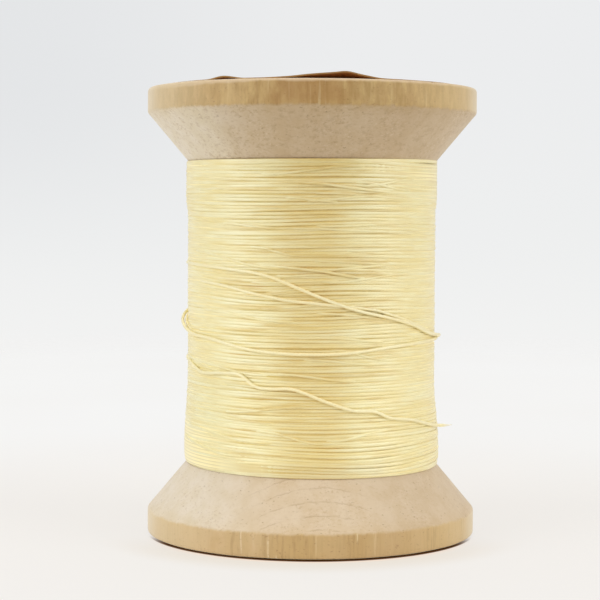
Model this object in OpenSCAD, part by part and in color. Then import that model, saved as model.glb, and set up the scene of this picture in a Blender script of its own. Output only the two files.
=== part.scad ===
// Waxed thread spool: a turned wooden spool, its winding of waxed thread with a loose end, and the
// paper label on its top face. Millimetres, +Z up. The origin is the centre of the base face, on the
// axis of the bore. Angles round the axis are counted from -Y towards +X.

/* [Spool] */
// Height over both end faces
spool_h = 50.8; // [44:0.2:70]
// Diameter over the rims of the flanges
flange_d = 37.6; // [35:0.1:50]
// Height of the straight rim on each flange
rim_h = 2.75; // [1.6:0.05:5]
// Slope of the flange cones, in degrees from the axis
cone_angle = 40; // [36:1:55]
// Diameter of the barrel that the thread is wound on
barrel_d = 16; // [12:0.5:20]
// Diameter of the bore, which sits on the pin of a thread stand
bore_d = 8; // [5:0.1:10]
// Chamfer at both mouths of the bore
bore_chamfer = 0.4; // [0.2:0.1:1]
// Rounding of each rim where it meets its end face
rim_edge_r = 0.35; // [0.2:0.05:1]
// Rounding of each rim where it meets its cone
shoulder_r = 0.5; // [0.2:0.1:1]
// How far the outer ring of the base stands clear of a table
base_relief = 0.1; // [0:0.05:0.4]
// Width of that ring, in from the outside of the rim
base_relief_w = 1.6; // [1.2:0.1:4]

/* [Winding] */
// Diameter of the thread
thread_d = 0.4; // [0.3:0.05:0.5]
// Diameter over the winding where it is slimmest, round its middle
winding_d = 28.5; // [24:0.1:32]
// How much further it stands out from the axis next to the lower flange
lower_swell = 0.45; // [0:0.05:0.8]
// Height over which it is that full, up from the lower flange
lower_full_h = 2.6; // [1:0.1:6]
// Height over which it then thins to its middle
lower_thin_h = 7.8; // [1:0.1:10]
// How much further it stands out from the axis next to the upper flange
upper_swell = 0.2; // [0:0.05:0.8]
// Height over which it is that full, down from the upper flange
upper_full_h = 4.4; // [1:0.1:6]
// Height over which it then thins to its middle
upper_thin_h = 1.8; // [1:0.1:10]
// Turns in the outer layer: each stands for the few threads that lie side by side in its width
outer_turns = 24; // [8:1:24]
// Groove between neighbouring turns of the outer layer
turn_gap = 0.45; // [0.42:0.01:0.8]

/* [Label] */
// Thickness of the paper
label_t = 0.15; // [0.1:0.05:0.4]
// Bare wood between the label and the outside of the rim
label_inset = 1.45; // [1.2:0.05:4]
// Bare wood between the label's hole and the mouth of the bore
label_hole_inset = 0.3; // [0.1:0.1:2]
// How far in from its edge the label has come unstuck
curl_reach = 5; // [2:0.5:8]
// Height of the tall curl of the label's edge
curl_h = 0.85; // [0.3:0.05:2]
// Height of the low one beside it
low_curl_h = 0.38; // [0.1:0.02:2]

/* [Hidden] */
$fn = 96;

// Clearance between a piece and what it lies on
rest_gap = 0.1;
// Straight steps in each rounded corner, and up the outline of the layers inside
corner_steps = 6;
inner_steps = 16;
// The outer layer's tube: rings in one turn, and sides
turn_rings = 24;
turn_sides = 6;
// The loose end's tube: the widest step between rings, in degrees, and sides
end_step = 15;
end_sides = 8;
// The label's mesh: steps round the axis and across the unstuck edge
label_sectors = 72;
curl_steps = 4;

flange_r = flange_d / 2;
barrel_r = barrel_d / 2;
bore_r = bore_d / 2;
label_r = flange_r - label_inset;
label_hole_r = bore_r + bore_chamfer + label_hole_inset;

// Chords between the rings dip this far below the circle that the rings stand on
chord_dip = winding_d / 2 * (1 - cos(180 / turn_rings));
// Depth that the outer layer takes up, with its clearance over the layers inside it
layer_depth = thread_d + chord_dip + rest_gap;

// The tall and the low curl: direction, and how far it reaches before that and after it, in degrees
CURL_ANGLES = [[12, 30, 17], [-33, 12, 10]];
CURL_HEIGHTS = [curl_h, low_curl_h];

// The way the loose end lies: angle, height, and lift above where a resting thread's centre runs.
// It leaves the winding behind the left side, goes round twice and ends past the right side.
LOOSE_ROUTE = [
    [-150, 26.4, 0], [-125, 26.1, 0], [-108, 25.7, 0.1], [-97, 25.1, 0.32], [-88, 24.4, 0.4],
    [-80, 23.75, 0.24], [-69, 23.15, 0.02], [-50, 22.8, 0], [-38, 22.3, 0], [-25, 21.8, 0],
    [-5, 21.5, 0], [15, 21.6, 0], [35, 22.1, 0], [56, 22.4, 0], [80, 22.5, 0],
    [92, 22.6, 0], [105, 22.9, 0], [120, 23.9, 0], [150, 26.4, 0], [180, 28.4, 0],
    [210, 29.9, 0], [240, 30.7, 0], [270, 31, 0], [299, 30.9, 0], [332, 30.3, 0],
    [343, 29.7, 0], [356, 28.4, 0], [368, 27.2, 0], [380, 26.2, 0], [398, 25.2, 0],
    [411, 24.4, 0], [424, 23.4, 0], [438, 22.95, 0.12], [450, 22.7, 0.36], [465, 22.2, 0.55],
    [480, 21.9, 0.4], [500, 21.7, 0.1], [520, 21.5, 0], [550, 21.1, 0], [595, 20.5, 0],
    [635, 20.1, 0], [647, 19.85, 0], [655, 19.4, 0], [663, 18.95, 0], [679, 19.15, 0],
    [687, 19.1, 0], [695, 17.9, 0], [702, 17.7, 0], [712, 17.7, 0], [727, 16.3, 0],
    [738, 15.4, 0], [748, 15.2, 0], [756, 14.4, 0], [768, 14, 0], [784, 13.1, 0],
    [794, 12.7, 0.3], [806, 12.4, 1.5]
];

// Points of a round corner, from one angle to another about its centre
function corner(centre, r, from, to) = [
    for (i = [0 : corner_steps])
        let (a = from + (to - from) * i / corner_steps)
        centre + r * [cos(a), sin(a)]
];

// Height at which a circle of radius r about the axis stands off the lower cone by gap
function height_over_cone(r, gap = 0) = rim_h + (flange_r - r) / tan(cone_angle) + gap / sin(cone_angle);

// Outline points of the lower half turned over into the upper half
function turned_over(points) = [
    for (i = [len(points) - 1 : -1 : 0]) [points[i].x, spool_h - points[i].y]
];

// Radius over the winding next to each flange, and the heights between which it lies
lower_end_r = winding_d / 2 + lower_swell;
upper_end_r = winding_d / 2 + upper_swell;
winding_foot_z = height_over_cone(lower_end_r);
winding_top_z = spool_h - height_over_cone(upper_end_r);

// Share of a swell that is left at a distance from the end of the winding
function swell_left(distance, full_h, thin_h) =
    let (s = max(0, min(1, (distance - full_h) / thin_h)))
    1 - 3 * pow(s, 2) + 2 * pow(s, 3);

// Outside radius of the winding at a height
function winding_r(z) =
    winding_d / 2
    + lower_swell * swell_left(z - winding_foot_z, lower_full_h, lower_thin_h)
    + upper_swell * swell_left(winding_top_z - z, upper_full_h, upper_thin_h);

// Half of the spool's outline, from the bore's mouth out to the rim, which stands clear of the end
// face by relief, and in to the barrel
function spool_half(relief) = concat(
    [[bore_r + bore_chamfer, 0]],
    relief > 0 ? [[flange_r - base_relief_w, 0]] : [],
    corner([flange_r - rim_edge_r, relief + rim_edge_r], rim_edge_r, -90, 0),
    corner([flange_r - shoulder_r, rim_h - shoulder_r * tan(cone_angle / 2)], shoulder_r, 0, cone_angle),
    [[barrel_r, height_over_cone(barrel_r)]]
);

// Outline of the layers inside: up the lower cone, along under the outer layer, down the upper cone
inner_foot_z = height_over_cone(lower_end_r - layer_depth, rest_gap);
inner_top_z = spool_h - height_over_cone(upper_end_r - layer_depth, rest_gap);
inner_barrel_r = barrel_r + rest_gap;
inner_outline = concat(
    [[inner_barrel_r, height_over_cone(inner_barrel_r, rest_gap)]],
    [
        for (i = [0 : inner_steps])
            let (z = inner_foot_z + (inner_top_z - inner_foot_z) * i / inner_steps)
            [winding_r(z) - layer_depth, z]
    ],
    [[inner_barrel_r, spool_h - height_over_cone(inner_barrel_r, rest_gap)]]
);

// A point at an angle round the axis, a radius and a height
function place(a, r, z) = [r * sin(a), -r * cos(a), z];

// The outer layer's turns and the grooves between them fill the height from cone to cone
cone_lean = 1 / sin(cone_angle);
outer_room = spool_h
    - height_over_cone(lower_end_r - thread_d / 2, rest_gap)
    - height_over_cone(upper_end_r - thread_d / 2, rest_gap);
turn_pitch = (outer_room + turn_gap * cone_lean) / (outer_turns + cone_lean);
turn_w = turn_pitch - turn_gap;

// Centre line of the outer layer, which climbs steadily from flange to flange
outer_foot_z = height_over_cone(lower_end_r - thread_d / 2, rest_gap + turn_w / 2);
outer_rings = outer_turns * turn_rings;
outer_line = [
    for (i = [0 : outer_rings])
        let (z = outer_foot_z + turn_pitch * i / turn_rings)
        place(180 - 360 * i / turn_rings, winding_r(z) - thread_d / 2, z)
];

// Slope of column k of the loose end's route at point i
function route_slope(i, k) =
    let (
        before = LOOSE_ROUTE[max(i - 1, 0)],
        after = LOOSE_ROUTE[min(i + 1, len(LOOSE_ROUTE) - 1)]
    )
    (after[k] - before[k]) / (after[0] - before[0]);

// Column k of the route between points i and i + 1, at a share s of the way, as a smooth cubic
function route_value(i, s, k) =
    let (
        from = LOOSE_ROUTE[i],
        to = LOOSE_ROUTE[i + 1],
        span = to[0] - from[0]
    )
    from[k] * (2 * pow(s, 3) - 3 * pow(s, 2) + 1) + to[k] * (3 * pow(s, 2) - 2 * pow(s, 3))
    + span * route_slope(i, k) * (pow(s, 3) - 2 * pow(s, 2) + s)
    + span * route_slope(i + 1, k) * (pow(s, 3) - pow(s, 2));

// The loose end rests on the winding, a chord's dip and a clearance clear of it
function loose_point(a, z, lift) = place(a, winding_r(z) + chord_dip + rest_gap + thread_d / 2 + lift, z);
loose_spans = len(LOOSE_ROUTE) - 1;
loose_line = [
    for (i = [0 : loose_spans - 1])
        let (
            from = LOOSE_ROUTE[i][0],
            to = LOOSE_ROUTE[i + 1][0],
            steps = ceil((to - from) / end_step),
            // The last span also closes the line with its own end
            last = i == loose_spans - 1 ? steps : steps - 1
        )
        for (j = [0 : last])
            let (s = j / steps)
            loose_point(from + (to - from) * s, route_value(i, s, 1), route_value(i, s, 2))
];

function unit(v) = v / norm(v);

// Direction of a line of points at point i
function heading(line, i) = unit(line[min(i + 1, len(line) - 1)] - line[max(i - 1, 0)]);

// One ring of a tube that runs round the axis: its first corner points away from the axis.
// size is the tube's thickness away from the axis, then its width along the axis
function ring(line, i, size, sides) =
    let (
        along = heading(line, i),
        across = unit(cross(along, [line[i].x, line[i].y, 0])),
        outward = cross(across, along)
    )
    [
        for (k = [0 : sides - 1])
            let (a = 360 * k / sides)
            line[i] + (size.x * cos(a) * outward + size.y * sin(a) * across) / 2
    ];

// One unbroken tube along a line of points, closed at both ends
module tube(line, size, sides) {
    last = len(line) - 1;
    corners = [for (i = [0 : last]) each ring(line, i, size, sides)];
    walls = [
        for (i = [0 : last - 1])
            for (k = [0 : sides - 1])
                let (
                    a = i * sides + k,
                    b = i * sides + (k + 1) % sides
                )
                each [[a, a + sides, b], [b, a + sides, b + sides]]
    ];
    caps = [
        for (k = [1 : sides - 2])
            each [[0, k, k + 1], [last * sides, last * sides + k + 1, last * sides + k]]
    ];
    polyhedron(corners, concat(walls, caps));
}

// Least clear distance between a tube of width w and itself, near to far points further along it
function least_gap(line, w, near, far) =
    min([
        for (i = [0 : len(line) - 1])
            for (j = [i + near : min(i + far, len(line) - 1)])
                norm(line[i] - line[j])
    ]) - w;

// Height of the label above its glued place: of its edge at an angle round the axis, and at a radius
function edge_lift(a) =
    max([
        for (i = [0 : len(CURL_ANGLES) - 1])
            let (
                off = a - CURL_ANGLES[i][0],
                width = off < 0 ? CURL_ANGLES[i][1] : CURL_ANGLES[i][2]
            )
            abs(off) < width ? CURL_HEIGHTS[i] * pow(cos(90 * off / width), 2) : 0
    ]);
function curl_lift(a, r) = edge_lift(a) * pow(max(0, (r - label_r + curl_reach) / curl_reach), 2);

module spool() {
    color("burlywood")
        rotate_extrude()
            polygon(concat(
                spool_half(base_relief),
                turned_over(spool_half(0)),
                [[bore_r, spool_h - bore_chamfer], [bore_r, bore_chamfer]]
            ));
}

module inner_thread_layers() {
    color([0.86, 0.79, 0.55])
        rotate_extrude()
            polygon(inner_outline);
}

module outer_thread_layer() {
    echo(outer_layer_least_gap = least_gap(outer_line, turn_w, turn_rings / 2, 2 * turn_rings));
    color([0.93, 0.87, 0.66])
        tube(outer_line, [thread_d, turn_w], turn_sides);
}

module loose_thread_end() {
    echo(loose_end_least_gap = least_gap(loose_line, thread_d, turn_rings / 2, len(loose_line)));
    color([0.96, 0.91, 0.72])
        tube(loose_line, [thread_d, thread_d], end_sides);
}

module top_label() {
    radii = concat(
        [label_hole_r],
        [for (i = [0 : curl_steps]) label_r - curl_reach * (1 - i / curl_steps)]
    );
    rows = len(radii);
    function sheet(height) = [
        for (r = radii)
            for (k = [0 : label_sectors - 1])
                let (a = 360 * k / label_sectors - 180)
                place(a, r, spool_h + height + curl_lift(a, r))
    ];
    // The four outlines of a section: up the hole, out over the top, down the edge, back below
    function at(row, k, top) = (top ? rows : 0) * label_sectors + row * label_sectors + k % label_sectors;
    faces = [
        for (k = [0 : label_sectors - 1])
            each concat(
                [for (row = [0 : rows - 2])
                    each [
                        [at(row, k, true), at(row + 1, k + 1, true), at(row + 1, k, true)],
                        [at(row, k, true), at(row, k + 1, true), at(row + 1, k + 1, true)],
                        [at(row, k, false), at(row + 1, k, false), at(row + 1, k + 1, false)],
                        [at(row, k, false), at(row + 1, k + 1, false), at(row, k + 1, false)]
                    ]
                ],
                [
                    [at(0, k, false), at(0, k + 1, false), at(0, k + 1, true)],
                    [at(0, k, false), at(0, k + 1, true), at(0, k, true)],
                    [at(rows - 1, k, false), at(rows - 1, k + 1, true), at(rows - 1, k + 1, false)],
                    [at(rows - 1, k, false), at(rows - 1, k, true), at(rows - 1, k + 1, true)]
                ]
            )
    ];
    color([0.55, 0.36, 0.17])
        polyhedron(concat(sheet(0), sheet(label_t)), faces);
}

spool();
inner_thread_layers();
outer_thread_layer();
loose_thread_end();
top_label();
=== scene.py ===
import math

import bpy
import numpy as np
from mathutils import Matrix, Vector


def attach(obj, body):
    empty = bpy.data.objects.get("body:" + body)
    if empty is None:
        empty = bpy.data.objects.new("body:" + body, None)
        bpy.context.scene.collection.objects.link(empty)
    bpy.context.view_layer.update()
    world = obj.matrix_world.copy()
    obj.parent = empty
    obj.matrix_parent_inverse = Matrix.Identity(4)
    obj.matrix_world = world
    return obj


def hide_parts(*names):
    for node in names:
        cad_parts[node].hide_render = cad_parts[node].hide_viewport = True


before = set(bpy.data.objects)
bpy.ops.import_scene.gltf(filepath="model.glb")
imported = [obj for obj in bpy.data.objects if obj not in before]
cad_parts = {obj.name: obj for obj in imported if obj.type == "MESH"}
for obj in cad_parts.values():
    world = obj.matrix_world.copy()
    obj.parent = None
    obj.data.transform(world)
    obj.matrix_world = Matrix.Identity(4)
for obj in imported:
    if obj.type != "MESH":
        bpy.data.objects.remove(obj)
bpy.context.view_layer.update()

# Angles round the axis are in degrees from -Y towards +X. Lengths are in millimetres until a mesh is made.
MM = 0.001

SPOOL_H = 50.8
FLANGE_R = 18.8
RIM_H = 2.75
CONE_ANGLE = math.radians(40)
BARREL_R = 8.0
BORE_R = 4.0
BORE_CHAMFER = 0.4
RIM_EDGE_R = 0.35
BASE_EDGE_R = 0.2
SHOULDER_R = 0.5
BASE_RELIEF = 0.1
BASE_RELIEF_W = 1.6

WINDING_R = 14.25
# How much fuller the winding is at each end, on the radius: all of it over the first height from that
# end, and thinning out over the second
LOWER_SWELL, LOWER_FULL_H, LOWER_THIN_H = 0.45, 2.6, 7.8
UPPER_SWELL, UPPER_FULL_H, UPPER_THIN_H = 0.2, 4.4, 1.8

LABEL_T = 0.15
LABEL_R = FLANGE_R - 1.45
LABEL_HOLE_R = BORE_R + BORE_CHAMFER + 0.3
# How far in from its edge the label can curl up
CURL_REACH = 5.0


def height_over_cone(r, gap=0.0):
    """Height at which a circle of radius r about the axis stands off the lower cone by gap."""
    return RIM_H + (FLANGE_R - r) / math.tan(CONE_ANGLE) + gap / math.sin(CONE_ANGLE)


WINDING_FOOT_Z = height_over_cone(WINDING_R + LOWER_SWELL)
WINDING_TOP_Z = SPOOL_H - height_over_cone(WINDING_R + UPPER_SWELL)


def swell_left(distance, full_h, thin_h):
    """Share of a swell that is left at a distance from the end of the winding."""
    s = np.clip((distance - full_h) / thin_h, 0, 1)
    return 1 - 3 * s**2 + 2 * s**3


def winding_r(z):
    """Outside radius of the winding at a height."""
    lower = LOWER_SWELL * swell_left(z - WINDING_FOOT_Z, LOWER_FULL_H, LOWER_THIN_H)
    return WINDING_R + lower + UPPER_SWELL * swell_left(WINDING_TOP_Z - z, UPPER_FULL_H, UPPER_THIN_H)


def place(angle, r, z):
    """Points at angles round the axis, radii and heights."""
    a = np.radians(angle)
    return np.stack(np.broadcast_arrays(r * np.sin(a), -r * np.cos(a), z), axis=-1)


# ---------------------------------------------------------------- camera

# The pinhole that fits the photo's outline: focal length and width in its pixels, place in metres and
# tilts in degrees
FOCAL_PX, PICTURE_PX = 1762.3, 600
SENSOR_W = 36
CAMERA_AT = (-0.00135, -0.2032, 0.036934)
CAMERA_DOWN, CAMERA_ROLL = 2.898, -0.27

camera = bpy.data.objects.new("camera", bpy.data.cameras.new("camera"))
bpy.context.scene.collection.objects.link(camera)
camera.data.sensor_width = SENSOR_W
camera.data.lens = FOCAL_PX / PICTURE_PX * SENSOR_W
camera.data.clip_start = 0.01
camera.data.clip_end = 20
camera.location = CAMERA_AT
camera.rotation_euler = (math.radians(90 - CAMERA_DOWN), math.radians(CAMERA_ROLL), 0)
bpy.context.scene.camera = camera


# ---------------------------------------------------------------- mesh helpers

def make_piece(name, points, faces, materials, face_material=None, uv=None):
    """A smooth mesh from points in millimetres, riding on the part's one body."""
    mesh = bpy.data.meshes.new(name)
    mesh.from_pydata((np.asarray(points) * MM).tolist(), [], faces)
    for material in materials:
        mesh.materials.append(material)
    if face_material is not None:
        mesh.polygons.foreach_set("material_index", np.asarray(face_material, np.int32))
    mesh.polygons.foreach_set("use_smooth", np.full(len(mesh.polygons), True))
    if uv is not None:
        layer = mesh.uv_layers.new(name="run")
        layer.data.foreach_set("uv", np.asarray(uv, np.float32).ravel())
    mesh.validate()
    mesh.update()
    obj = bpy.data.objects.new(name, mesh)
    bpy.context.scene.collection.objects.link(obj)
    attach(obj, "root")
    return obj


def set_attribute(obj, name, values):
    """A number for each point of the mesh, which its material reads by name."""
    attribute = obj.data.attributes.new(name, "FLOAT", "POINT")
    attribute.data.foreach_set("value", np.asarray(values, np.float32))


def run_along(line):
    """Length run from the start of a line to each of its points."""
    return np.concatenate([[0], np.cumsum(np.linalg.norm(np.diff(line, axis=0), axis=1))])


def tube(line, thickness, width, sides, plies=0, ply_depth=0.0, lay=1.0):
    """Corners, faces and UVs of a closed tube along a line that runs round the axis. u is the length run
    in millimetres and v goes once round the tube."""
    line = np.asarray(line, float)
    n = len(line)
    along = np.gradient(line, axis=0)
    along /= np.linalg.norm(along, axis=1, keepdims=True)
    radial = line * [1, 1, 0]
    across = np.cross(along, radial)
    across /= np.linalg.norm(across, axis=1, keepdims=True)
    outward = np.cross(across, along)
    run = run_along(line)
    turn = np.arange(sides) / sides
    swell = 1 + ply_depth * np.cos(2 * np.pi * plies * (turn[None, :] + run[:, None] / lay))
    thickness = np.broadcast_to(thickness, n)[:, None]
    width = np.broadcast_to(width, n)[:, None]
    out = thickness / 2 * swell * np.cos(2 * np.pi * turn)
    side = width / 2 * swell * np.sin(2 * np.pi * turn)
    corners = line[:, None] + out[..., None] * outward[:, None] + side[..., None] * across[:, None]
    i, k = np.meshgrid(np.arange(n - 1), np.arange(sides), indexing="ij")
    a = i * sides + k
    b = i * sides + (k + 1) % sides
    quads = np.stack([a, a + sides, b + sides, b], axis=-1).reshape(-1, 4)
    u0, u1, v0, v1 = run[i], run[i + 1], turn[k], turn[k] + 1 / sides
    uv = np.stack([u0, v0, u1, v0, u1, v1, u0, v1], axis=-1).reshape(-1, 2)
    caps = [list(range(sides)), [(n - 1) * sides + k for k in range(sides - 1, -1, -1)]]
    cap_uv = [[end, 0.5] for end in (0.0, run[-1]) for _ in range(sides)]
    return corners.reshape(-1, 3), quads.tolist() + caps, np.concatenate([uv, cap_uv])


def joined(parts):
    """Several results of tube() as one."""
    points, faces, uvs, start = [], [], [], 0
    for corners, own_faces, uv in parts:
        points.append(corners)
        faces += [[corner + start for corner in face] for face in own_faces]
        uvs.append(uv)
        start += len(corners)
    return np.concatenate(points), faces, np.concatenate(uvs)


def smooth_route(route, step):
    """The points of a route of (angle, height, lift) rows, joined by cubics, about every step degrees."""
    rows = np.asarray(route, float)
    slope = np.empty((len(rows), 2))
    for i in range(len(rows)):
        before, after = rows[max(i - 1, 0)], rows[min(i + 1, len(rows) - 1)]
        slope[i] = (after[1:] - before[1:]) / (after[0] - before[0])
    out = []
    for i in range(len(rows) - 1):
        span = rows[i + 1][0] - rows[i][0]
        count = max(1, math.ceil(span / step))
        for j in range(count + (i == len(rows) - 2)):
            s = j / count
            value = (
                rows[i][1:] * (2 * s**3 - 3 * s**2 + 1)
                + rows[i + 1][1:] * (3 * s**2 - 2 * s**3)
                + span * slope[i] * (s**3 - 2 * s**2 + s)
                + span * slope[i + 1] * (s**3 - s**2)
            )
            out.append([rows[i][0] + span * s, *value])
    return np.array(out)


def lathe(outline, segments):
    """Corners and faces of a closed outline of (radius, height) rows turned round the axis."""
    outline = np.asarray(outline, float)
    angles = np.arange(segments) * 360 / segments
    points = place(angles[None, :], outline[:, 0][:, None], outline[:, 1][:, None]).reshape(-1, 3)
    rows = len(outline)
    faces = []
    for i in range(rows):
        j = (i + 1) % rows
        for k in range(segments):
            after = (k + 1) % segments
            faces.append([i * segments + k, i * segments + after, j * segments + after, j * segments + k])
    return points, faces


# ---------------------------------------------------------------- material helpers

def linear(code):
    """A colour written as in a picture, such as c8a070, in the linear values that a shader takes."""
    parts = [int(code[i:i + 2], 16) / 255 for i in (0, 2, 4)]
    return [p / 12.92 if p <= 0.04045 else ((p + 0.055) / 1.055) ** 2.4 for p in parts] + [1.0]


class Graph:
    """A material's or a world's nodes, wired by value or by socket."""

    def __init__(self, owner):
        self.owner = owner
        owner.use_nodes = True
        self.tree = owner.node_tree
        self.tree.nodes.clear()

    def add(self, kind, inputs=(), **settings):
        node = self.tree.nodes.new("ShaderNode" + kind)
        for key, value in settings.items():
            setattr(node, key, value)
        for key, value in dict(inputs).items():
            self.put(node.inputs[key], value)
        return node

    def put(self, socket, value):
        if isinstance(value, bpy.types.NodeSocket):
            self.tree.links.new(value, socket)
        else:
            socket.default_value = value

    def math(self, operation, a, b=None):
        node = self.add("Math", {0: a}, operation=operation)
        if b is not None:
            self.put(node.inputs[1], b)
        return node.outputs[0]

    def times(self, first, *others):
        for other in others:
            first = self.math("MULTIPLY", first, other)
        return first

    def plus(self, first, *others):
        for other in others:
            first = self.math("ADD", first, other)
        return first

    def minus(self, a, b):
        return self.math("SUBTRACT", a, b)

    def centred(self, noise, size):
        """A noise of 0 to 1 as a shift of that size about 0."""
        return self.times(self.minus(noise, 0.5), size)

    def point(self, x, y, z=0.0):
        return self.add("CombineXYZ", {0: x, 1: y, 2: z}).outputs[0]

    def parts(self, vector):
        return list(self.add("SeparateXYZ", {0: vector}).outputs)

    def scaled(self, vector, by):
        return self.add("VectorMath", {0: vector, 1: by}, operation="MULTIPLY").outputs[0]

    def length(self, vector):
        return self.add("VectorMath", {0: vector}, operation="LENGTH").outputs["Value"]

    def place_mm(self):
        """The place on the object, in millimetres."""
        return self.scaled(self.add("TexCoord").outputs["Object"], (1000, 1000, 1000))

    def reach(self, at):
        """Distance from the axis."""
        return self.length(self.scaled(at, (1, 1, 0)))

    def attribute(self, name):
        return self.add("Attribute", attribute_name=name, attribute_type="GEOMETRY").outputs["Fac"]

    def noise(self, vector, detail=2.0, roughness=0.5, distortion=0.0):
        inputs = {"Vector": vector, "Scale": 1.0, "Detail": detail, "Roughness": roughness}
        return self.add("TexNoise", {**inputs, "Distortion": distortion}).outputs["Fac"]

    def span(self, value, low, high, to_low=0.0, to_high=1.0):
        """value's stretch from low to high laid smoothly over to_low to to_high."""
        node = self.add(
            "MapRange",
            {"Value": value, "From Min": low, "From Max": high, "To Min": to_low, "To Max": to_high},
            interpolation_type="SMOOTHSTEP",
        )
        return node.outputs["Result"]

    def mix(self, share, a, b, blend="MIX"):
        node = self.add("Mix", data_type="RGBA", blend_type=blend)
        self.put(node.inputs["Factor"], share)
        self.put(node.inputs[6], a)
        self.put(node.inputs[7], b)
        return node.outputs[2]

    def tint(self, share, colour, factors):
        """colour, with that share of it multiplied by three factors."""
        return self.mix(share, colour, [*factors, 1.0], "MULTIPLY")

    def bump(self, height, distance, normal=None):
        node = self.add("Bump", {"Height": height, "Distance": distance, "Strength": 1.0})
        if normal is not None:
            self.put(node.inputs["Normal"], normal)
        return node.outputs["Normal"]

    def finish(self, shader, output="OutputMaterial"):
        self.put(self.add(output).inputs["Surface"], shader)
        return self.owner


def graph(name):
    return Graph(bpy.data.materials.new(name))


# ---------------------------------------------------------------- thread material

PLIES = 3
# Length in which a ply goes once round, as painted and, on the loose end, as modelled
PAINTED_LAY, MODELLED_LAY = 1.15, 1.25


def crease_shade_tones(g, shade_colour, side, height, dash):
    """The painted shade where two turns meet: khaki off the middle, browner high up at the right, orange in
    places.
    """
    off_middle = g.span(g.math("ABSOLUTE", side), 2.0, 6.0)
    shade_colour = g.mix(off_middle, shade_colour, g.mix(0.5, shade_colour, linear("d9cc76")))
    upper_right = g.times(g.span(side, 1.0, 5.0, 0.0, 0.6), g.span(height, 20.0, 28.0))
    shade_colour = g.mix(upper_right, shade_colour, linear("c8a850"))
    return g.mix(g.span(dash, 0.60, 0.68, 0.0, 0.6), shade_colour, linear("c8903c"))


def tinted_and_shaded_by_place(g, colour, side, height):
    """Slightly cooler at the left of the front and warmer at its right, a little darker low down, with
    painted shade under the upper flange and at the foot next to the lower one, and painted light at the foot
    on the left."""
    low = g.span(height, 24.0, 16.0)
    near_middle = g.span(g.math("ABSOLUTE", g.plus(side, 1.0)), 9.0, 5.0)
    foot_right = g.times(g.span(side, -5.5, -2.5), g.span(side, 9.5, 7.0))
    foot_left = g.times(g.span(side, -8.0, -6.0), g.span(side, -2.5, -5.0))
    for share, factors in [
        (g.span(side, -4.0, -9.0), (0.99, 1.0, 1.035)),
        (g.span(side, 5.0, 11.0), (0.995, 0.985, 0.965)),
        (g.times(g.span(side, -5.0, -11.0), low), (0.96, 0.97, 0.965)),
        (low, (0.985, 0.99, 0.995)),
        (g.times(near_middle, g.span(height, 40.4, 41.6)), (0.92, 0.91, 0.86)),
        (g.times(foot_right, g.span(height, 10.2, 9.0)), (0.93, 0.92, 0.94)),
        (g.times(foot_left, g.span(height, 8.8, 8.4)), (0.93, 0.92, 0.95)),
        (g.times(g.span(side, -5.5, -7.5), g.span(height, 10.4, 8.4)), (1.0, 1.03, 1.11)),
    ]:
        colour = g.tint(share, colour, factors)
    return colour


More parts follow.
